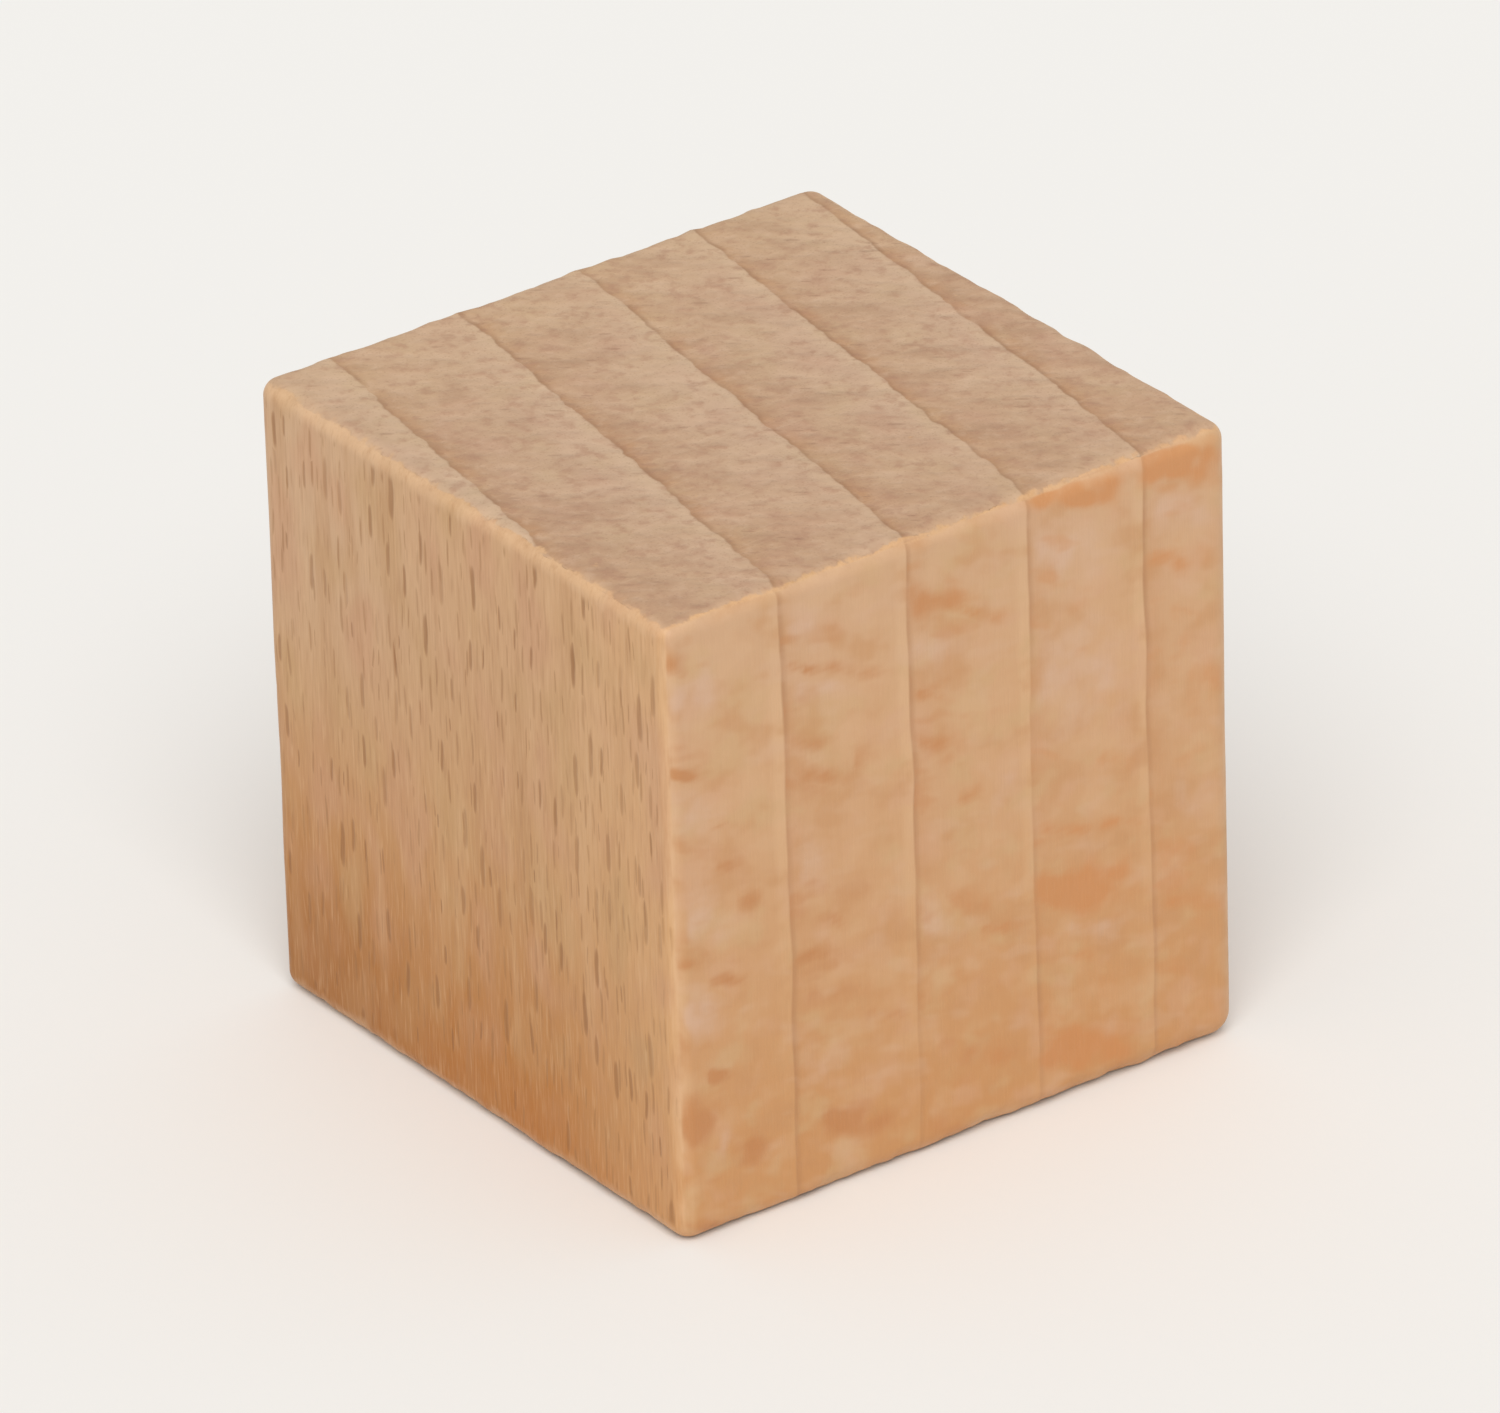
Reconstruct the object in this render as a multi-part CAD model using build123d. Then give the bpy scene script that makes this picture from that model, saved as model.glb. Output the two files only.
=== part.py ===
from build123d import *
from OCP.BRepFilletAPI import BRepFilletAPI_MakeFillet

import os

# A wooden counting and stacking cube, in millimetres. It stands on the XY plane
# with +Z up, and its origin is under the middle of its foot.
# The real cube is one piece of beech: a strip planed square, sawn to length across
# the grain, and tumbled, which eases its arrises and wears its corners back.
# The grain runs along Z, so the head and the foot are the two sawn ends.
# The tree's bark lay towards -Y and its heart towards +Y, with the growth rings
# near enough square to that line. Left is -X and right is +X.

# Planed section of the strip, and the length between the two saw cuts
strip_width = 25.0
strip_depth = 25.0
cut_length = 25.0

# Radii of the wear, named for the eight corners. Tumbling wears each one by chance, so
# no two beside each other are alike. The largest was knocked on something hard.
head_bark_left = 0.58
head_bark_right = 0.46
head_heart_right = 0.62
head_heart_left = 0.68
foot_bark_left = 0.60
foot_bark_right = 0.66
foot_heart_right = 0.84
foot_heart_left = 0.52

# A corner is named by its three sides: right is 1 and left is -1, then heart is 1 and
# bark is -1, then head is 1 and foot is -1.
corner_radius = {
    (-1, -1, 1): head_bark_left,
    (1, -1, 1): head_bark_right,
    (1, 1, 1): head_heart_right,
    (-1, 1, 1): head_heart_left,
    (-1, -1, -1): foot_bark_left,
    (1, -1, -1): foot_bark_right,
    (1, 1, -1): foot_heart_right,
    (-1, 1, -1): foot_heart_left,
}

sawn_block = (Pos(0, 0, cut_length / 2) * Box(strip_width, strip_depth, cut_length)).solid()


def sides_at(corner):
    """The three sides that meet at one of the sawn block's sharp corners."""
    return tuple(1 if along > 0 else -1 for along in corner - sawn_block.center())


# Each arris is rounded, with a radius that changes smoothly between the radii named for
# its two corners. Six arrises run backwards in the block, and have the two the other way
# round. So two corners are true balls, and the others are patches between unlike arrises.
tumbling = BRepFilletAPI_MakeFillet(sawn_block.wrapped)
for arris in sawn_block.edges():
    start, end = sides_at(arris.position_at(0)), sides_at(arris.position_at(1))
    tumbling.Add(corner_radius[start], corner_radius[end], arris.wrapped)
wooden_cube = Solid(tumbling.Shape())

os.makedirs("parts", exist_ok=True)
export_step(wooden_cube, "parts/wooden_cube.step")
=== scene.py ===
from math import cos, pi, radians, sin, sqrt

import bpy
import numpy as np
from mathutils import Matrix, Vector


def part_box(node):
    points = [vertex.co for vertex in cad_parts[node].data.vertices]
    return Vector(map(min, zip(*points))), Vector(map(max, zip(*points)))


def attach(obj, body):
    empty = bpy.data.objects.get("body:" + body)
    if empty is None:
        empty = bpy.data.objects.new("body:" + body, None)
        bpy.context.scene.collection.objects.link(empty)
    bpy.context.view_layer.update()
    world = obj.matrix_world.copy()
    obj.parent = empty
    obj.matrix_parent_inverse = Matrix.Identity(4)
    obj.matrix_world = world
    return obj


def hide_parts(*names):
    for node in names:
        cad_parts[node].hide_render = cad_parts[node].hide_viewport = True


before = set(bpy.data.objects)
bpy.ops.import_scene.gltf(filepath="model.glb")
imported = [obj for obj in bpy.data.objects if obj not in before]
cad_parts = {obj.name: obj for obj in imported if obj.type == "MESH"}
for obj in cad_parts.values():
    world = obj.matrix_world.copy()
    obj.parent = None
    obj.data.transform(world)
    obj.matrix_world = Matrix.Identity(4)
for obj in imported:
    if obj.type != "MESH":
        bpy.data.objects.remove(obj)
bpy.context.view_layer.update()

# The cube is one block of beech, planed square on four sides and sawn off across the
# grain at both ends. It is then tumbled, which eases its arrises and wears its corners
# back. Nothing is fixed to it. Its sizes are in millimetres.
mm = 0.001
low, high = (np.array(corner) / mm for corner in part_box("wooden_cube"))
middle = (low + high) / 2
half = (high - low) / 2

# The grain stands along Z. The tree's bark lay towards -Y and its heart towards +Y.
# A corner is named by its sides: right is 1 and left is -1, then heart is 1 and bark
# is -1, then head is 1 and foot is -1. Each is worn to part of a ball of this radius.
corner_radius = {
    (-1, -1, 1): 0.58,
    (1, -1, 1): 0.46,
    (1, 1, 1): 0.62,
    (-1, 1, 1): 0.68,
    (-1, -1, -1): 0.60,
    (1, -1, -1): 0.66,
    (1, 1, -1): 0.84,
    (-1, 1, -1): 0.52,
}

# Handling has since rounded all of them by nearly a fifth
handling = 1.18
corner_radius = {sides: handling * radius for sides, radius in corner_radius.items()}

# An arris runs between two corners that differ in one side
arrises = [
    (start, end)
    for start in corner_radius
    for end in corner_radius
    if start < end and np.count_nonzero(np.subtract(start, end)) == 1
]

# The growth rings run nearly along X. They lean by 138 mm in a metre, fan out a little
# towards the right, and grow narrower towards the heart.
ring_width = 5.35
ring_lean = 0.138
ring_spread = 0.0015
ring_shift = 0.1
ring_narrowing = 0.0008


def rings_crossed(places):
    """How many growth rings lie between the cube's middle and each place, as a number
    below 0 towards the bark. It is the distance across the rings over their width, plus
    a little of that distance squared, because they grow narrower."""
    x, y = places[:, 0], places[:, 1]
    across = y + x * (ring_lean - ring_spread * y) + ring_shift
    return across / ring_width + ring_narrowing * across**2


def unevenness(seed, places, length, octaves=2):
    """Smooth chance variation, mostly between -1 and 1. It is a sum of sine waves near
    the given length, of seeded direction and phase, over the root of their number. The
    waves of each further octave are half as long and half as high."""
    draw = np.random.default_rng(seed)
    waves = 9
    total = np.zeros(len(places))
    for octave in range(octaves):
        for wave in range(waves):
            direction = draw.normal(size=3)
            turns = 2 * pi * 2**octave / length * draw.uniform(0.6, 1.4)
            direction *= turns / np.linalg.norm(direction)
            phase = draw.uniform(0, 2 * pi)
            total += np.sin(places @ direction + phase) / 2**octave
    return total / sqrt(waves)


def soft_step(start, end, value):
    """0 up to start and 1 from end on, with a smooth rise between: 3 t^2 - 2 t^3."""
    t = np.clip((value - start) / (end - start), 0, 1)
    return t * t * (3 - 2 * t)


# The skin is a lattice with this many cells along each arris. A cell beside an arris
# has the finest size, and over the fine cells it grows to the common size.
cells = 128
fine_cells = 24
finest_cell = 0.045


def lattice_lines():
    """Places of the lattice lines across a side, from -1 to 1. It is the running sum of
    the cells' sizes over the length of the edge, doubled, less 1. The common size is the
    one with which they fill the edge."""
    from_arris = np.minimum(np.arange(cells), np.arange(cells)[::-1])
    growth = soft_step(0, fine_cells, from_arris)
    edge = 2 * half.mean()
    common_cell = finest_cell + (edge - cells * finest_cell) / growth.sum()
    sizes = finest_cell + (common_cell - finest_cell) * growth
    return np.concatenate([[0], np.cumsum(sizes)]) / edge * 2 - 1


def block_skin():
    """The lattice places on the skin of a block, and the quads between them. Each of the
    six sides is a grid of two parameters, and equal places are one, so it is closed."""
    first, second = np.meshgrid(np.arange(cells + 1), np.arange(cells + 1), indexing="ij")
    count = (cells + 1) ** 2
    numbers = np.arange(count).reshape(cells + 1, cells + 1)
    squares = [numbers[:-1, :-1], numbers[1:, :-1], numbers[1:, 1:], numbers[:-1, 1:]]
    squares = np.stack(squares, -1).reshape(-1, 4)
    places, quads = [], []
    for axis in range(3):
        for side in (0, cells):
            grid = np.empty((count, 3), int)
            grid[:, axis] = side
            grid[:, (axis + 1) % 3] = first.ravel()
            grid[:, (axis + 2) % 3] = second.ravel()
            outward = squares if side else squares[:, ::-1]
            quads.append(outward + count * len(places))
            places.append(grid)
    places, kept = np.unique(np.concatenate(places), axis=0, return_inverse=True)
    return places, kept.ravel()[np.concatenate(quads)]


def wear_corner(places, corner, radius):
    """Wears one corner to part of a ball that touches its three sides: what lies beyond
    the ball's middle moves straight towards that middle, to the ball's surface."""
    sides = np.array(corner)
    centre = sides * (half - radius)
    offset = places - centre
    reach = np.linalg.norm(offset, axis=1)
    beyond = (offset * sides > 0).all(1)
    places[beyond] = (centre + offset * (radius / reach)[:, None])[beyond]


def ease_arris(places, start, end, roughness):
    """Rounds one arris, between the balls at its two corners. A place nearer to both
    sides than the radius moves straight towards the axis of the rounding, until it is
    one radius away from it. The radius changes evenly from ball to ball, times the
    roughness."""
    start_sides, end_sides = np.array(start), np.array(end)
    axis = int(np.argmax(start_sides != end_sides))
    pair = [a for a in range(3) if a != axis]
    first, last = half[axis] - corner_radius[start], half[axis] - corner_radius[end]
    share = (places[:, axis] * end_sides[axis] + first) / (first + last)
    radius = corner_radius[start] + (corner_radius[end] - corner_radius[start]) * share
    radius *= roughness
    depth = half[pair] - places[:, pair] * start_sides[pair]
    inward = radius[:, None] - depth
    reach = np.hypot(*inward.T)
    outside = (share >= 0) & (share <= 1) & (inward > 0).all(1) & (reach > radius)
    depth[outside] -= (radius / reach - 1)[outside, None] * inward[outside]
    places[:, pair] = (half[pair] - depth) * start_sides[pair]


# How the arrises are uneven: slow waves along each, fibres torn at the two ends, and a
# scallop in every ring where an arris runs across the rings
arris_wave = 0.035
torn_fibres = 0.08
scallop = 0.2


def arris_roughness(number, places, start, end):
    """What the radius of an arris is multiplied by at each place: 1, plus slow waves,
    plus short ones along the sawn ends, plus a scallop where it crosses the rings. The
    scallop is half a sine wave over each ring, to the power 0.6, less a half. All of it
    fades out towards the corners, so that the arris meets the ball at each of them."""
    axis = int(np.argmax(np.not_equal(start, end)))
    rough = arris_wave * unevenness(10 + number, places, 9.0)
    if axis != 2:
        rough += torn_fibres * unevenness(30 + number, places, 1.6)
    if axis == 1:
        rough += scallop * (np.sin(pi * (rings_crossed(places) % 1)) ** 0.6 - 0.5)
    from_corner = half[axis] - np.abs(places[:, axis])
    return 1 + np.clip(rough, -0.5, 0.6) * soft_step(1.0, 2.4, from_corner)


steps, quads = block_skin()
lines = lattice_lines()
skin = lines[steps] * half

# The lattice lines across Y lean with the rings, so that a ring's edge runs along them.
# They lean less near the arrises, by the fourth power of the way there.
lean_share = 1 - (skin[:, 1] / half[1]) ** 4
skin[:, 1] -= (ring_lean - ring_spread * skin[:, 1]) * skin[:, 0] * lean_share

for corner, radius in corner_radius.items():
    wear_corner(skin, corner, radius)
for number, (start, end) in enumerate(arrises):
    ease_arris(skin, start, end, arris_roughness(number, skin, start, end))

cube = bpy.data.meshes.new("wooden_cube")
cube.from_pydata(((skin + middle) * mm).tolist(), [], quads.tolist())
cube.update()
facing = np.empty(len(skin) * 3, np.float32)
cube.vertex_normals.foreach_get("vector", facing)
facing = facing.reshape(-1, 3).astype(float)

# What each place on the skin shows. A ray side, cut along the rays, faces along X, and
# a sawn end along Z. The rest is bark or heart side, cut along the rings. Each share is
# the square of that part of the way the skin faces, so the three add to 1.
ray_side = facing[:, 0] ** 2
sawn_end = facing[:, 2] ** 2

# The rings stand out a little. The surface drops at a ring's edge, on its heart side, and
# climbs back over the ring: the drop goes by the square of the share of the ring still to
# come. It is deeper on the sawn ends than on the ray sides.
ring_wander = 0.006
end_drop = 0.02
ray_side_drop = 0.002
ring = rings_crossed(skin) + ring_wander * unevenness(1, skin, 6.0, 3)
ring_drop = end_drop * sawn_end + ray_side_drop * ray_side
relief = -ring_drop * (1 - ring % 1) ** 2

# Planing and tumbling leave the block about a hundredth of a millimetre out of flat, and
# the saw leaves its ends a little rougher
planing_waves = 0.008
saw_waves = 0.005
relief -= planing_waves * (1 + unevenness(2, skin, 16.0))
relief -= saw_waves * (1 + unevenness(3, skin, 2.5)) * sawn_end

# Nicks from tumbling, all of them on the arrises. Each is a round hollow, which grows
# shallower away from its spot as a bell curve does.
nick_count = 50
draw = np.random.default_rng(4)
for nick in range(nick_count):
    start, end = arrises[draw.integers(len(arrises))]
    share = draw.uniform(0.04, 0.96)
    spot = (np.array(start) * (1 - share) + np.array(end) * share) * half
    width = draw.uniform(0.10, 0.28)
    deep = width * draw.uniform(0.10, 0.25)
    relief -= deep * np.exp(-((skin - spot) ** 2).sum(1) / width**2)

# A dent in the head, beside the corner that stands nearest in the photograph
dent_spot = np.array([0.965, -0.955, 1.0]) * half
dent_depth = 0.10
dent_width = 0.4
relief -= dent_depth * np.exp(-((skin - dent_spot) ** 2).sum(1) / dent_width**2)

# The relief moves the skin along the way it faces, and never beyond the block
skin += facing * relief[:, None]
skin = np.clip(skin, -half, half)
cube.vertices.foreach_set("co", ((skin + middle) * mm).ravel())
cube.polygons.foreach_set("use_smooth", np.ones(len(quads), bool))
cube.update()

# Where a ray lies in the surface of a ray side it shows as a fleck. Those of the right
# side are listed one by one: middle from the bark arris and above the foot, length,
# height, and depth of colour, which is less than 0 where the wood is paler than round it.
# Every fleck slopes down towards the heart.
fleck_slope = 0.3
fleck_waver = 0.15
fleck_patches = 0.35
flecks = [
    (0.6, 23.2, 1.4, 1.1, 1.3),
    (0.7, 18.9, 1.9, 0.6, 0.9),
    (2.3, 16.4, 1.3, 0.4, 0.6),
    (2.6, 14.8, 1.4, 0.6, 0.6),
    (3.4, 13.0, 1.4, 1.1, 0.7),
    (0.4, 11.4, 1.4, 0.7, 0.7),
    (2.3, 10.2, 1.8, 0.5, 0.8),
    (0.3, 8.5, 0.8, 1.5, 0.7),
    (2.0, 6.4, 1.4, 0.7, 0.9),
    (0.8, 4.8, 1.7, 1.9, 1.5),
    (3.0, 3.0, 1.8, 1.2, 0.8),
    (1.2, 0.4, 2.2, 0.7, 0.9),
    (6.7, 21.3, 2.8, 0.6, 0.9),
    (8.8, 20.4, 2.4, 0.7, 0.5),
    (6.4, 18.3, 2.4, 0.9, 0.5),
    (8.6, 17.1, 1.2, 0.7, 0.6),
    (7.0, 16.9, 3.0, 0.9, 0.5),
    (7.2, 11.0, 2.2, 0.6, 0.6),
    (6.4, 9.6, 2.4, 0.8, 0.8),
    (7.3, 7.8, 3.4, 0.8, 0.6),
    (9.6, 6.2, 2.6, 0.6, 0.5),
    (8.0, 2.5, 3.4, 1.5, 1.0),
    (12.2, 22.2, 3.4, 1.2, 0.8),
    (14.2, 20.9, 2.4, 0.6, 0.5),
    (11.7, 18.6, 1.8, 0.8, 0.6),
    (12.2, 16.5, 2.8, 1.3, 0.55),
    (13.4, 13.9, 1.6, 0.8, 0.6),
    (13.0, 9.6, 2.4, 1.3, 0.8),
    (14.6, 7.9, 2.2, 0.5, 0.8),
    (14.0, 3.0, 3.2, 1.0, 0.5),
    (12.2, 0.9, 3.0, 1.0, 0.7),
    (18.3, 24.5, 4.6, 1.5, 1.3),
    (18.6, 10.8, 4.6, 0.6, 0.8),
    (18.3, 8.4, 4.6, 1.8, 1.3),
    (18.2, 1.9, 4.2, 1.9, 1.3),
    (20.0, 13.0, 2.4, 0.9, 0.5),
    (18.0, 5.6, 2.2, 0.6, 0.5),
    (23.2, 24.0, 4.2, 2.0, 1.2),
    (23.0, 20.2, 3.6, 0.9, 0.6),
    (24.0, 14.9, 2.2, 1.7, 0.6),
    (22.5, 8.4, 2.2, 1.6, 0.5),
    (23.2, 6.2, 3.2, 0.9, 0.6),
    (1.3, 22.2, 2.2, 2.4, -0.8),
    (1.2, 17.2, 2.4, 1.5, -0.7),
    (1.5, 13.0, 1.8, 2.4, -0.7),
    (1.4, 9.2, 2.0, 1.8, -0.9),
    (1.7, 3.8, 2.0, 1.6, -0.6),
    (7.0, 20.3, 3.0, 1.1, -0.6),
    (6.3, 23.2, 2.0, 1.8, -0.6),
    (6.4, 13.2, 1.6, 2.2, -0.5),
    (6.6, 5.6, 2.6, 1.2, -0.5),
    (12.0, 20.4, 2.6, 1.4, -0.7),
    (11.8, 9.4, 2.0, 1.8, -0.6),
    (14.8, 13.6, 1.8, 2.8, -0.4),
    (17.9, 22.3, 3.4, 2.6, -0.8),
    (18.4, 17.2, 4.4, 4.4, -0.6),
    (18.9, 6.8, 3.4, 1.1, -0.6),
    (23.0, 22.2, 3.2, 1.5, -0.8),
    (23.6, 10.2, 2.6, 2.2, -0.5),
]


def ray_figure(places):
    """How much darker or paler the rays make each place on the right side. A fleck starts
    sharply at its bark end and fades along its length. Across its height it is a bell
    curve, exp(-above^2). Its middle line wavers by chance, and so does its depth."""
    across = places[:, 1] + half[1]
    up = places[:, 2] + half[2] + fleck_waver * unevenness(5, places, 3.0)
    patchy = 1 + fleck_patches * unevenness(6, places, 1.8)
    figure = np.zeros(len(places))
    for centre, height_above_foot, length, height, depth in flecks:
        along = (across - centre) / length + 0.5
        above = (up - height_above_foot + fleck_slope * (across - centre)) / (height / 2)
        fade = soft_step(-0.12, 0.12, along) * (1 - soft_step(0.4, 1.3, along))
        figure += depth * fade * np.exp(-above**2)
    return figure * patchy


figure = ray_figure(skin) * soft_step(0.3, 0.7, ray_side) * (skin[:, 0] > 0)

# How far a place is rounded over: 0 on a flat side, 0.8 on the middle of an arris, and 1
# on a corner
eased = np.clip(1.6 * (1 - (facing**2).max(1)), 0, 1)

# How near a place on a side is to a sawn end: 1 within 0.3 mm of it, 0 from 1.3 mm
near_end = 1 - soft_step(0.3, 1.3, half[2] - np.abs(skin[:, 2]))

# All of these are stored on the skin, for the finish to read
for name, values in {
    "ring": ring,
    "sawn_end": sawn_end,
    "ray_side": ray_side,
    "eased": eased,
    "near_end": near_end,
    "figure": figure,
}.items():
    cube.attributes.new(name, "FLOAT", "POINT").data.foreach_set("value", values.astype(np.float32))


def feed(socket, value):
    """Joins an output to an input, or writes a plain value on the input."""
    if isinstance(value, bpy.types.NodeSocket):
        socket.id_data.links.new(value, socket)
    else:
        socket.default_value = value


def node(tree, kind, inputs=None, **settings):
    """Adds a node, with its settings, and feeds its inputs by name or by number."""
    made = tree.nodes.new(kind)
    for name, value in settings.items():
        setattr(made, name, value)
    for name, value in (inputs or {}).items():
        feed(made.inputs[name], value)
    return made


def maths(tree, operation, *terms):
    """One sum on one or two values, such as ADD or MULTIPLY."""
    return node(tree, "ShaderNodeMath", dict(enumerate(terms)), operation=operation).outputs[0]


def vectors(tree, operation, *terms):
    """One sum on vectors, term by term."""
    return node(tree, "ShaderNodeVectorMath", dict(enumerate(terms)), operation=operation).outputs[0]


def vector_times(tree, vector, number):
    """A vector times a number."""
    return node(tree, "ShaderNodeVectorMath", {0: vector, 3: number}, operation="SCALE").outputs[0]


def rise(tree, value, start, end, to=1.0):
    """0 at start and to at end, with a smooth rise or fall between."""
    inputs = {0: value, 1: start, 2: end, 3: 0.0, 4: to}
    return node(tree, "ShaderNodeMapRange", inputs, interpolation_type="SMOOTHSTEP").outputs[0]


def blend(tree, share, first, second):
    """The first colour, with the second one laid over it by the share."""
    inputs = {0: share, 6: first, 7: second}
    return node(tree, "ShaderNodeMix", inputs, data_type="RGBA").outputs[2]


def colour(red, green, blue):
    """A colour given as on a screen, from 0 to 255, as the amounts of light it sends.
    The screen's curve is straight near black and a power of 2.4 above."""
    part = np.array([red, green, blue]) / 255
    light = np.where(part <= 0.04045, part / 12.92, ((part + 0.055) / 1.055) ** 2.4)
    return (*light.tolist(), 1.0)


def by_share(tree, share, stops):
    """The colour at each share of a way, through stops of share and colour."""
    ramp = node(tree, "ShaderNodeValToRGB", {0: share})
    while len(ramp.color_ramp.elements) < len(stops):
        ramp.color_ramp.elements.new(0.5)
    for element, (place, tint) in zip(ramp.color_ramp.elements, stops):
        element.position = place
        element.color = tint
    return ramp.outputs[0]


def new_group(name, inputs, outputs):
    """A node group with the named inputs and outputs, and the sockets inside it."""
    tree = bpy.data.node_groups.new(name, "ShaderNodeTree")
    for label, kind in inputs.items():
        tree.interface.new_socket(label, in_out="INPUT", socket_type=kind)
    for label, kind in outputs.items():
        tree.interface.new_socket(label, in_out="OUTPUT", socket_type=kind)
    return tree, node(tree, "NodeGroupInput").outputs, node(tree, "NodeGroupOutput").inputs


def use_group(tree, group, **inputs):
    """Places a group, with its inputs by name, and gives its outputs."""
    return node(tree, "ShaderNodeGroup", inputs, node_tree=group).outputs


# Streaks: soft noise drawn out to a given size in X, Y and Z, from 0 to 1
streaks, given, result = new_group(
    "streaks",
    {"Place": "NodeSocketVector", "Size": "NodeSocketVector", "Detail": "NodeSocketFloat"},
    {"Value": "NodeSocketFloat"},
)
scaled = vectors(streaks, "DIVIDE", given["Place"], given["Size"])
noise = {"Vector": scaled, "Scale": 1.0, "Detail": given["Detail"]}
feed(result["Value"], node(streaks, "ShaderNodeTexNoise", noise).outputs[0])

# Spindles: lens-shaped bodies, one in each cell of a chance lattice drawn out to Cell.
# Body is the half size that each body has a chance share of, and Tone is another chance
# value of its own. A place is in a body where across^2 + along^2 + up^4 is under 1, each
# over the half size. The mask is 0 there and grows to 1 further in, over the part Edge.
least_share = 0.35
share_range = 0.9
spindles, given, result = new_group(
    "spindles",
    {
        "Place": "NodeSocketVector",
        "Cell": "NodeSocketVector",
        "Body": "NodeSocketVector",
        "Edge": "NodeSocketFloat",
    },
    {"Mask": "NodeSocketFloat", "Tone": "NodeSocketFloat"},
)
scaled = vectors(spindles, "DIVIDE", given["Place"], given["Cell"])
lattice = node(spindles, "ShaderNodeTexVoronoi", {"Vector": scaled, "Scale": 1.0, "Randomness": 0.85})
offset = vectors(spindles, "SUBTRACT", scaled, lattice.outputs["Position"])
offset = vectors(spindles, "MULTIPLY", offset, given["Cell"])
chance = node(spindles, "ShaderNodeSeparateColor", {0: lattice.outputs["Color"]}).outputs
size = maths(spindles, "MULTIPLY", chance[0], share_range)
size = maths(spindles, "ADD", size, least_share)
shape = vectors(spindles, "DIVIDE", offset, given["Body"])
shape = vector_times(spindles, shape, maths(spindles, "DIVIDE", 1.0, size))
across, along, up = node(spindles, "ShaderNodeSeparateXYZ", {0: shape}).outputs
reach = maths(spindles, "ADD", maths(spindles, "POWER", up, 4.0), maths(spindles, "POWER", along, 2.0))
reach = maths(spindles, "ADD", reach, maths(spindles, "POWER", across, 2.0))
inner = maths(spindles, "SUBTRACT", 1.0, given["Edge"])
feed(result["Mask"], rise(spindles, reach, 1.0, inner))
feed(result["Tone"], chance[1])

# The finish of the bare beech: sanded, never oiled, a little burnished on the arrises, and with a painted
# highlight along them
beech = bpy.data.materials.new("beech")
beech.use_nodes = True
wood = beech.node_tree
wood.nodes.clear()


def read(name):
    """A value stored on the skin."""
    return node(wood, "ShaderNodeAttribute", attribute_name=name).outputs["Fac"]


def streak(place, size, detail=2.0):
    """Streaks of one size, in millimetres."""
    return use_group(wood, streaks, Place=place, Size=size, Detail=detail)["Value"]


def either_way(value, amount):
    """A value from 0 to 1 as one from minus amount to amount."""
    return maths(wood, "MULTIPLY", maths(wood, "SUBTRACT", value, 0.5), 2 * amount)


place = vector_times(wood, node(wood, "ShaderNodeTexCoord").outputs["Object"], 1 / mm)
side_to_side, bark_to_heart, height = node(wood, "ShaderNodeSeparateXYZ", {0: place}).outputs
on_end = read("sawn_end")
on_ray_side = read("ray_side")
on_arris = read("eased")
near_end = read("near_end")
flecked = read("figure")

# A ring's edge wobbles a little, and its thin dark line comes and goes
wobble = either_way(streak(place, (0.8, 3.0, 9.0), 2.0), 0.04)
wander = either_way(streak(place, (3.5, 6.0, 16.0), 1.0), 0.03)
wavy_ring = maths(wood, "ADD", read("ring"), maths(wood, "ADD", wobble, wander))
ring_share = maths(wood, "FRACT", wavy_ring)
line = maths(wood, "MAXIMUM", rise(wood, ring_share, 0.05, 0.0), rise(wood, ring_share, 0.985, 1.0))
line = maths(wood, "MULTIPLY", line, rise(wood, streak(place, (1.3, 4.0, 8.0), 2.0), 0.25, 0.65))

# Sawn end: growth rings with the rays as fine pale lines across them, chatter and short
# dashes from the saw, and pores. It is paler towards the left and browner to the right.
end_colour = by_share(
    wood,
    ring_share,
    [
        (0.0, colour(184, 145, 112)),
        (0.05, colour(187, 149, 116)),
        (0.2, colour(191, 155, 124)),
        (0.5, colour(195, 161, 131)),
        (0.85, colour(198, 165, 137)),
        (0.96, colour(203, 172, 142)),
        (1.0, colour(200, 168, 138)),
    ],
)
warm_zone = maths(wood, "MULTIPLY", rise(wood, ring_share, 0.25, 0.02), streak(place, (1.6, 5.0, 5.0), 2.0))
end_colour = blend(wood, rise(wood, warm_zone, 0.25, 0.7, 0.6), end_colour, colour(183, 134, 95))
end_hue = streak(place, (2.2, 1.6, 2.0), 2.0)
end_colour = blend(wood, rise(wood, end_hue, 0.5, 0.72, 0.4), end_colour, colour(191, 149, 124))
end_colour = blend(wood, rise(wood, end_hue, 0.5, 0.28, 0.4), end_colour, colour(197, 167, 131))
end_colour = blend(wood, rise(wood, side_to_side, -2.0, -12.5, 0.35), end_colour, colour(204, 172, 135))
end_colour = blend(wood, rise(wood, side_to_side, 2.0, 12.5, 0.3), end_colour, colour(188, 146, 110))
end_rays = streak(place, (0.16, 3.5, 3.5), 1.0)
end_colour = blend(wood, rise(wood, end_rays, 0.55, 0.75, 0.15), end_colour, colour(214, 182, 152))
saw_turn = node(wood, "ShaderNodeMapping", {"Vector": place, "Rotation": (0, 0, radians(-51))}).outputs[0]
chatter = streak(saw_turn, (2.2, 1.0, 2.0), 1.5)
chatter_dark = maths(wood, "MULTIPLY", rise(wood, chatter, 0.5, 0.7), rise(wood, ring_share, 1.05, 0.3))
end_colour = blend(wood, maths(wood, "MULTIPLY", chatter_dark, 0.4), end_colour, colour(168, 130, 102))
end_colour = blend(wood, rise(wood, chatter, 0.48, 0.25, 0.35), end_colour, colour(214, 182, 152))
mottle = streak(saw_turn, (0.5, 0.45, 2.0), 2.5)
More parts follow.
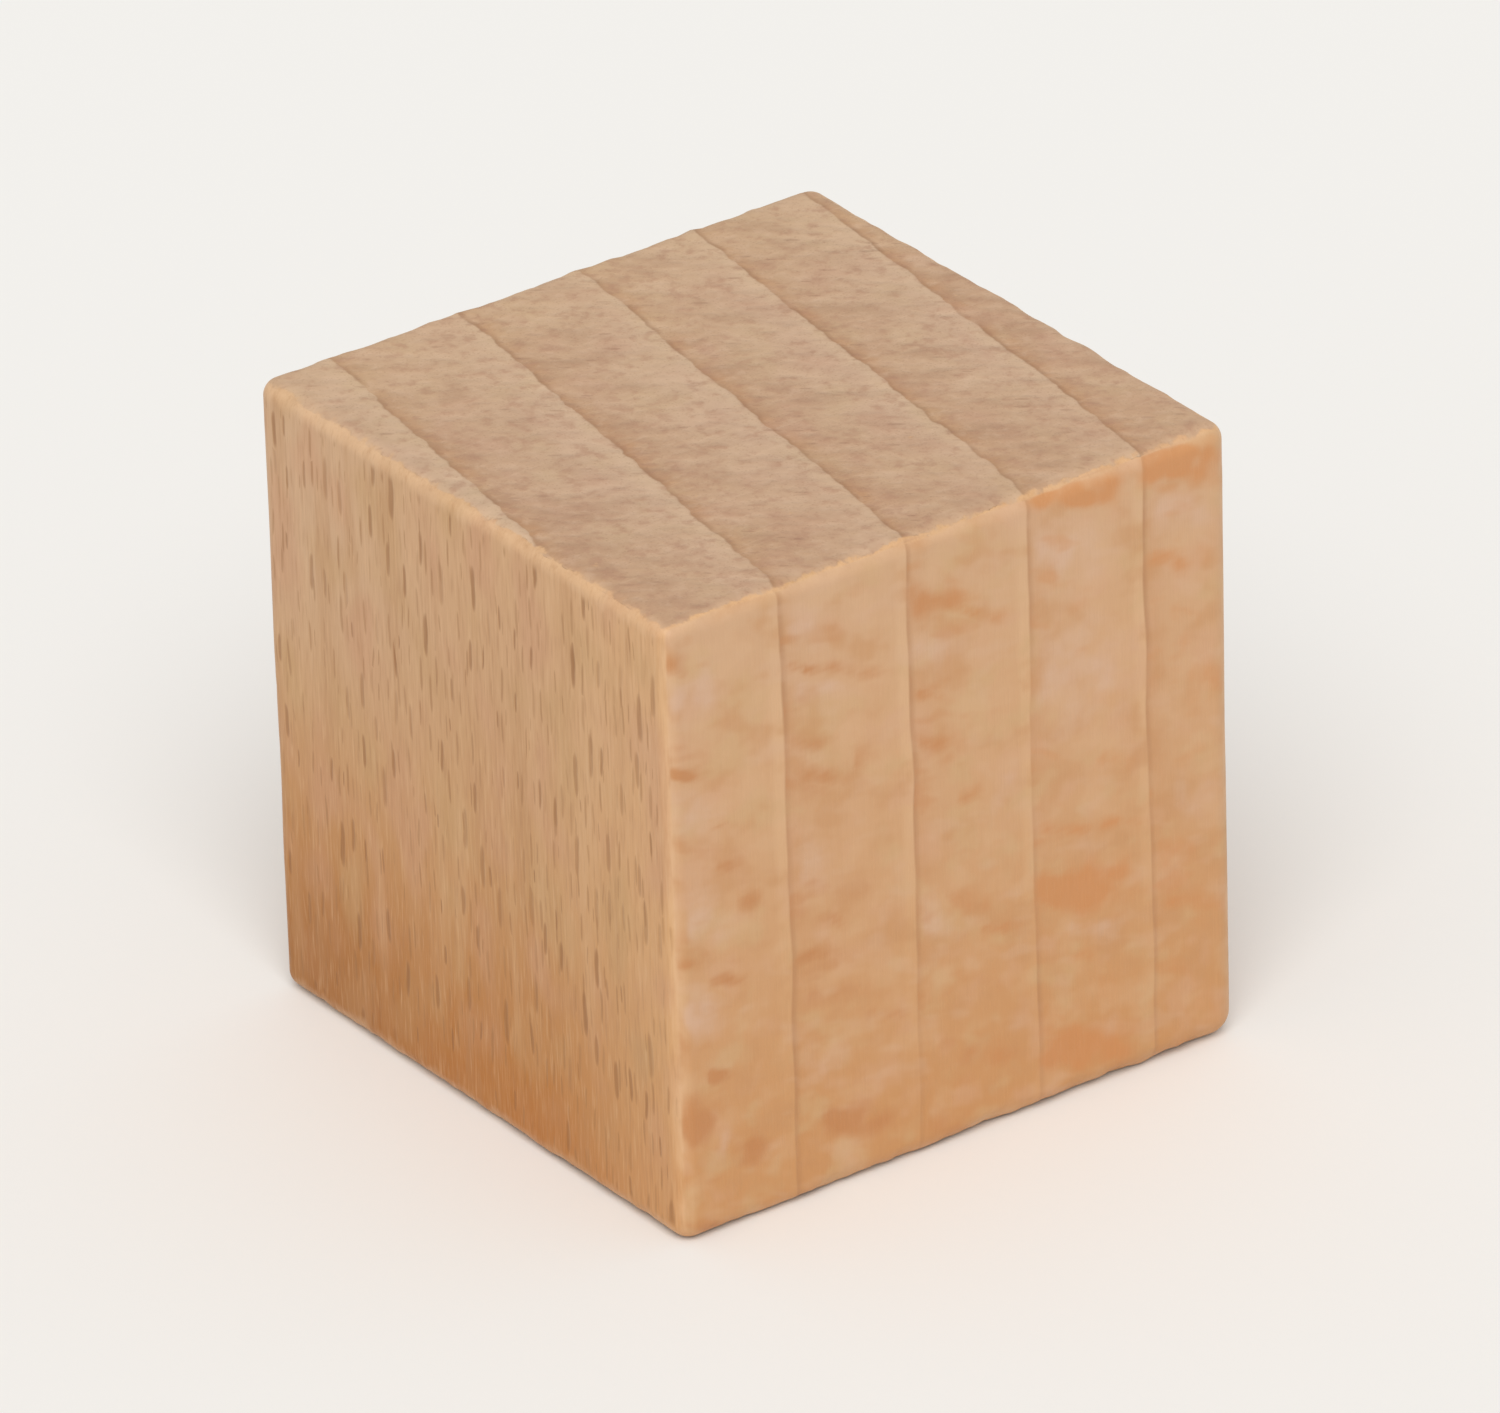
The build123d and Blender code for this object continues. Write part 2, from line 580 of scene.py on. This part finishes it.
end_colour = blend(wood, rise(wood, mottle, 0.48, 0.75, 0.5), end_colour, colour(170, 126, 101))
end_colour = blend(wood, rise(wood, mottle, 0.5, 0.25, 0.3), end_colour, colour(212, 180, 151))
dash_size = {"Cell": (1.5, 1.0, 6.0), "Body": (0.34, 0.09, 4.0), "Edge": 0.7}
dash = use_group(wood, spindles, Place=saw_turn, **dash_size)
dash_clumps = rise(wood, streak(place, (2.2, 2.2, 2.0), 1.0), 0.42, 0.62)
dash_mask = maths(wood, "MULTIPLY", dash["Mask"], dash_clumps)
end_colour = blend(wood, maths(wood, "MULTIPLY", dash_mask, 0.3), end_colour, colour(140, 98, 78))
end_colour = blend(wood, maths(wood, "MULTIPLY", line, 0.5), end_colour, colour(145, 104, 74))
pore_lattice = node(wood, "ShaderNodeTexVoronoi", {"Vector": place, "Scale": 6.0})
pores = rise(wood, pore_lattice.outputs["Distance"], 0.32, 0.16)
end_colour = blend(wood, maths(wood, "MULTIPLY", pores, 0.2), end_colour, colour(150, 112, 86))

# Bark side: rays cut across show as brown spindles among fine vessel lines. Its colour by
# height is painted light: darker and more orange towards the foot as painted shade and
# warm bounce light, and paler towards the head. It is also paler towards the right arris.
bend = either_way(streak(place, (1.2, 1.2, 2.2)), 0.16)
bent_place = vectors(wood, "ADD", place, node(wood, "ShaderNodeCombineXYZ", {0: bend}).outputs[0])
ray_size = {"Cell": (1.0, 24.0, 3.3), "Body": (0.15, 16.0, 0.85), "Edge": 0.9}
spindle = use_group(wood, spindles, Place=bent_place, **ray_size)
fine_ray_size = {"Cell": (0.5, 20.0, 2.3), "Body": (0.085, 14.0, 0.7), "Edge": 0.95}
fine_spindle = use_group(wood, spindles, Place=bent_place, **fine_ray_size)
vessel = streak(place, (0.13, 0.13, 1.6), 1.0)
band = streak(place, (1.1, 1.1, 12.0), 2.0)
bark_hue = streak(place, (2.6, 2.6, 4.0), 1.0)
# Painted light: the colour by height is darker and orange at the foot as painted shade and warm bounce
# light, and paler at the head
bark_colour = by_share(
    wood,
    maths(wood, "DIVIDE", height, float(high[2])),
    [
        (0.0, colour(180, 111, 42)),
        (0.12, colour(183, 119, 54)),
        (0.3, colour(191, 136, 82)),
        (0.5, colour(198, 150, 102)),
        (0.75, colour(203, 159, 117)),
        (1.0, colour(207, 164, 122)),
    ],
)
bark_colour = blend(wood, rise(wood, side_to_side, 3.0, 12.5, 0.55), bark_colour, colour(220, 171, 120))
left_part = rise(wood, side_to_side, 3.0, -11.0)
# Painted shade: the left part grows darker and browner towards the foot
painted_shade_at_foot = maths(wood, "MULTIPLY", left_part, rise(wood, height, 9.0, 0.0, 0.7))
bark_colour = blend(wood, painted_shade_at_foot, bark_colour, colour(158, 103, 48))
# Painted light: the left part grows paler towards the head
painted_light_at_head = maths(wood, "MULTIPLY", left_part, rise(wood, height, 8.0, 20.0, 0.55))
bark_colour = blend(wood, painted_light_at_head, bark_colour, colour(206, 172, 139))
off_foot = rise(wood, height, -4.0, 9.0)
pink_hue = maths(wood, "MULTIPLY", rise(wood, bark_hue, 0.5, 0.72, 0.5), off_foot)
yellow_hue = maths(wood, "MULTIPLY", rise(wood, bark_hue, 0.5, 0.28, 0.5), off_foot)
pale_band = maths(wood, "MULTIPLY", rise(wood, band, 0.5, 0.25, 0.35), off_foot)
bark_colour = blend(wood, pink_hue, bark_colour, colour(200, 149, 114))
bark_colour = blend(wood, yellow_hue, bark_colour, colour(194, 153, 104))
bark_colour = blend(wood, rise(wood, band, 0.5, 0.75, 0.4), bark_colour, colour(184, 136, 92))
bark_colour = blend(wood, pale_band, bark_colour, colour(212, 170, 126))
bark_colour = blend(wood, rise(wood, vessel, 0.52, 0.75, 0.3), bark_colour, colour(170, 121, 80))
bark_colour = blend(wood, rise(wood, vessel, 0.46, 0.26, 0.25), bark_colour, colour(222, 181, 138))

# Ray side: growth rings edge on, and flecks where a ray lies in the surface. It is painted
# more orange towards the foot as painted warm bounce light and shade, and paler towards the
# head; the flecks are paler brown towards the heart.
ray_colour = by_share(
    wood,
    ring_share,
    [
        (0.0, colour(197, 149, 108)),
        (0.06, colour(202, 154, 113)),
        (0.18, colour(205, 160, 119)),
        (0.5, colour(207, 162, 121)),
        (0.88, colour(207, 162, 120)),
        (0.93, colour(213, 170, 128)),
        (0.985, colour(214, 171, 129)),
        (1.0, colour(204, 158, 117)),
    ],
)
# Painted light: more orange towards the foot as painted warm bounce light and shade, and paler towards the
# head
ray_colour = blend(wood, rise(wood, height, 19.0, 0.0, 0.85), ray_colour, colour(199, 143, 89))
ray_colour = blend(wood, rise(wood, height, 17.0, 26.0, 0.5), ray_colour, colour(206, 169, 135))
lean_place = node(wood, "ShaderNodeMapping", {"Vector": place, "Rotation": (radians(14), 0, 0)}).outputs[0]
ray_hue = streak(lean_place, (2.0, 2.2, 1.8), 2.0)
ray_colour = blend(wood, rise(wood, ray_hue, 0.52, 0.7, 0.45), ray_colour, colour(208, 161, 126))
ray_colour = blend(wood, rise(wood, ray_hue, 0.48, 0.3, 0.6), ray_colour, colour(203, 164, 119))
patch = streak(lean_place, (3.0, 2.0, 1.5), 2.0)
ray_colour = blend(wood, rise(wood, patch, 0.5, 0.7, 0.55), ray_colour, colour(196, 144, 97))
ray_colour = blend(wood, rise(wood, patch, 0.5, 0.3, 0.3), ray_colour, colour(214, 174, 135))
ray_colour = blend(wood, maths(wood, "MULTIPLY", line, 0.5), ray_colour, colour(170, 121, 82))
fleck_noise = streak(lean_place, (1.4, 1.1, 0.7), 2.0)
fleck_field = streak(lean_place, (3.0, 2.2, 1.1), 2.0)
hidden_flecks = rise(wood, fleck_field, 0.54, 0.74, 0.55)
hidden_flecks = maths(wood, "MULTIPLY", hidden_flecks, rise(wood, ring_share, 1.0, 0.1))
shown_flecks = maths(wood, "ADD", flecked, either_way(fleck_noise, 0.35))
fleck_mask = maths(wood, "MAXIMUM", rise(wood, shown_flecks, 0.0, 1.05), hidden_flecks)
pale_mask = maths(wood, "ADD", maths(wood, "MULTIPLY", flecked, -1.0), either_way(fleck_noise, 0.35))
ray_colour = blend(wood, rise(wood, pale_mask, 0.0, 1.1, 0.75), ray_colour, colour(211, 174, 147))
ray_colour = blend(wood, rise(wood, fleck_field, 0.46, 0.28, 0.3), ray_colour, colour(211, 172, 140))
fleck_colour = blend(wood, rise(wood, bark_to_heart, -6.0, 8.0), colour(191, 130, 80), colour(203, 138, 84))
ray_colour = blend(wood, maths(wood, "MULTIPLY", fleck_mask, 0.85), ray_colour, fleck_colour)

# Both kinds of side have fine fibre; spindles show where the rays are cut across
side_colour = blend(wood, rise(wood, on_ray_side, 0.35, 0.65), bark_colour, ray_colour)
fibre = streak(place, (0.07, 0.07, 1.2), 2.0)
fibre_share = rise(wood, on_ray_side, 1.6, -0.1)
fibre_dark = maths(wood, "MULTIPLY", rise(wood, fibre, 0.5, 0.75, 0.2), fibre_share)
side_colour = blend(wood, fibre_dark, side_colour, colour(178, 130, 90))
fibre_pale = maths(wood, "MULTIPLY", rise(wood, fibre, 0.5, 0.25, 0.18), fibre_share)
side_colour = blend(wood, fibre_pale, side_colour, colour(222, 184, 144))
on_bark_side = maths(wood, "MULTIPLY", rise(wood, on_ray_side, 0.5, 0.2), rise(wood, near_end, 0.9, 0.3))
spindle_mask = maths(wood, "MULTIPLY", spindle["Mask"], on_bark_side)
spindle_tone = maths(wood, "ADD", maths(wood, "MULTIPLY", spindle["Tone"], 0.55), 0.2)
spindle_share = maths(wood, "MULTIPLY", spindle_mask, spindle_tone)
side_colour = blend(wood, spindle_share, side_colour, colour(146, 96, 50))
fine_mask = maths(wood, "MULTIPLY", fine_spindle["Mask"], on_bark_side)
fine_tone = maths(wood, "ADD", maths(wood, "MULTIPLY", fine_spindle["Tone"], 0.4), 0.25)
fine_share = maths(wood, "MULTIPLY", fine_mask, fine_tone)
side_colour = blend(wood, fine_share, side_colour, colour(157, 109, 63))

# The arrises are painted paler, partly as burnishing and partly as a painted highlight
# where the light catches their rounding, less so at the ends and over dark flecks. Torn
# fibre makes the border of the ends ragged, with pale patches beside it on the bark and
# heart sides.
ragged = maths(wood, "ADD", on_end, either_way(streak(place, (0.45, 0.45, 0.45), 2.0), 0.5))
end_mask = rise(wood, ragged, 0.55, 0.8)
body_colour = blend(wood, end_mask, side_colour, end_colour)
rubbed_and_highlit = maths(wood, "MULTIPLY", on_arris, rise(wood, streak(place, (0.7, 0.7, 1.4), 3.0), 0.25, 0.7))
off_end = maths(wood, "SUBTRACT", 1.0, maths(wood, "MULTIPLY", near_end, 0.5))
rubbed_and_highlit = maths(wood, "MULTIPLY", rubbed_and_highlit, off_end)
patchy_end = maths(wood, "ADD", near_end, either_way(streak(place, (0.5, 0.5, 1.2), 2.0), 0.7))
off_bark_side = maths(wood, "ADD", on_end, on_ray_side)
torn = maths(wood, "MULTIPLY", rise(wood, patchy_end, 0.5, 1.2), rise(wood, off_bark_side, 1.2, 0.3))
rubbed_and_highlit = maths(wood, "ADD", rubbed_and_highlit, maths(wood, "MULTIPLY", torn, 0.45))
off_fleck = maths(wood, "SUBTRACT", 1.0, rise(wood, flecked, 0.2, 1.3, 0.6))
burnish_and_highlight = maths(wood, "MULTIPLY", maths(wood, "MULTIPLY", rubbed_and_highlit, off_fleck), 0.65)
# Painted highlight: this pale colour stands for burnishing and also for the light caught along the rounded
# arrises
body_colour = blend(wood, burnish_and_highlight, body_colour, colour(230, 191, 150))

# Height of the surface in millimetres, for the light to catch
end_height = maths(wood, "ADD", either_way(chatter, 0.09), either_way(mottle, 0.035))
side_height = maths(wood, "ADD", either_way(fibre, 0.005), maths(wood, "MULTIPLY", spindle_mask, -0.012))
heights = {0: end_mask, 2: side_height, 3: end_height}
surface_height = node(wood, "ShaderNodeMix", heights, data_type="FLOAT").outputs[0]
bump = node(wood, "ShaderNodeBump", {"Height": surface_height, "Distance": mm, "Strength": 1.0})

# Sawn ends are rougher than planed sides, and flecks and burnished arrises smoother
side_roughness = 0.55
end_roughness = 0.78
fleck_polish = 0.1
arris_polish = 0.2
roughness_by_end = {0: end_mask, 2: side_roughness, 3: end_roughness}
roughness = node(wood, "ShaderNodeMix", roughness_by_end, data_type="FLOAT").outputs[0]
roughness = maths(wood, "SUBTRACT", roughness, maths(wood, "MULTIPLY", fleck_mask, fleck_polish))
roughness = maths(wood, "SUBTRACT", roughness, maths(wood, "MULTIPLY", burnish_and_highlight, arris_polish))

skin_shader = node(
    wood,
    "ShaderNodeBsdfPrincipled",
    {
        "Base Color": body_colour,
        "Roughness": roughness,
        "Normal": bump.outputs[0],
        "Specular IOR Level": 0.35,
    },
)
node(wood, "ShaderNodeOutputMaterial", {"Surface": skin_shader.outputs[0]})

cube.materials.append(beech)
wooden_block = bpy.data.objects.new("beech_block", cube)
bpy.context.scene.collection.objects.link(wooden_block)
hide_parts("wooden_cube")
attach(wooden_block, "root")

# The table that the cube stands on. It is a plain sheet of matt pale paper, far larger
# than the picture, with nothing on it but the cube. Its size is in metres.
table_size = 8.0
pale = colour(243, 241, 237)

sheet = bpy.data.meshes.new("table_top")
reach = table_size / 2
corners = [(-reach, -reach, 0), (reach, -reach, 0), (reach, reach, 0), (-reach, reach, 0)]
sheet.from_pydata(corners, [], [(0, 1, 2, 3)])
table_top = bpy.data.objects.new("table_top", sheet)
bpy.context.scene.collection.objects.link(table_top)

paper = bpy.data.materials.new("pale_paper")
paper.use_nodes = True
paper.node_tree.nodes.clear()
matt = node(paper.node_tree, "ShaderNodeBsdfDiffuse", {"Color": pale})
node(paper.node_tree, "ShaderNodeOutputMaterial", {"Surface": matt.outputs[0]})
sheet.materials.append(paper)

# Soft daylight from all round. What is seen behind the table is its own pale tone, at
# the strength at which the lit table meets it with no line between.
daylight = 0.6
light_behind = 0.996
sky = bpy.data.worlds.new("daylight")
bpy.context.scene.world = sky
sky.use_nodes = True
air = sky.node_tree
air.nodes.clear()
light_path = node(air, "ShaderNodeLightPath").outputs
seen = maths(air, "MAXIMUM", light_path["Is Camera Ray"], light_path["Is Transmission Ray"])
seen = maths(air, "MAXIMUM", seen, light_path["Is Glossy Ray"])
plain = node(air, "ShaderNodeBackground", {"Color": (1, 1, 1, 1), "Strength": daylight})
behind = node(air, "ShaderNodeBackground", {"Color": pale, "Strength": light_behind})
both = node(air, "ShaderNodeMixShader", {0: seen, 1: plain.outputs[0], 2: behind.outputs[0]})
node(air, "ShaderNodeOutputWorld", {"Surface": both.outputs[0]})

# One large soft lamp, on the camera's side of the cube and higher than the camera
lamp = bpy.data.lights.new("soft_lamp", "SUN")
lamp.energy = 1.6
lamp.angle = radians(40)
soft_lamp = bpy.data.objects.new("soft_lamp", lamp)
towards_lamp = Vector((0.26, -0.19, 0.40))
soft_lamp.rotation_euler = towards_lamp.to_track_quat("Z", "Y").to_euler()
bpy.context.scene.collection.objects.link(soft_lamp)

# The camera stands off the arris between the bark side and the right side, and looks
# down at the head. It is turned a little about its own axis, as in the photograph. Its
# distance is in metres, and its focal length and sensor are in millimetres.
camera_azimuth = radians(54.6)
camera_elevation = radians(28.2)
camera_distance = 0.6535
camera_turn = radians(-1.77)
focal_length = 434.0
sensor = 36.0

eye = bpy.data.cameras.new("camera")
eye.lens = focal_length
eye.sensor_width = sensor
camera = bpy.data.objects.new("camera", eye)
outward = Vector(
    (
        sin(camera_azimuth) * cos(camera_elevation),
        -cos(camera_azimuth) * cos(camera_elevation),
        sin(camera_elevation),
    )
)
aim = Vector(middle) * mm
turn = outward.to_track_quat("Z", "Y").to_matrix().to_4x4() @ Matrix.Rotation(camera_turn, 4, "Z")
camera.matrix_world = Matrix.Translation(aim + outward * camera_distance) @ turn
bpy.context.scene.collection.objects.link(camera)
bpy.context.scene.camera = camera
bpy.context.scene.view_settings.view_transform = "Standard"
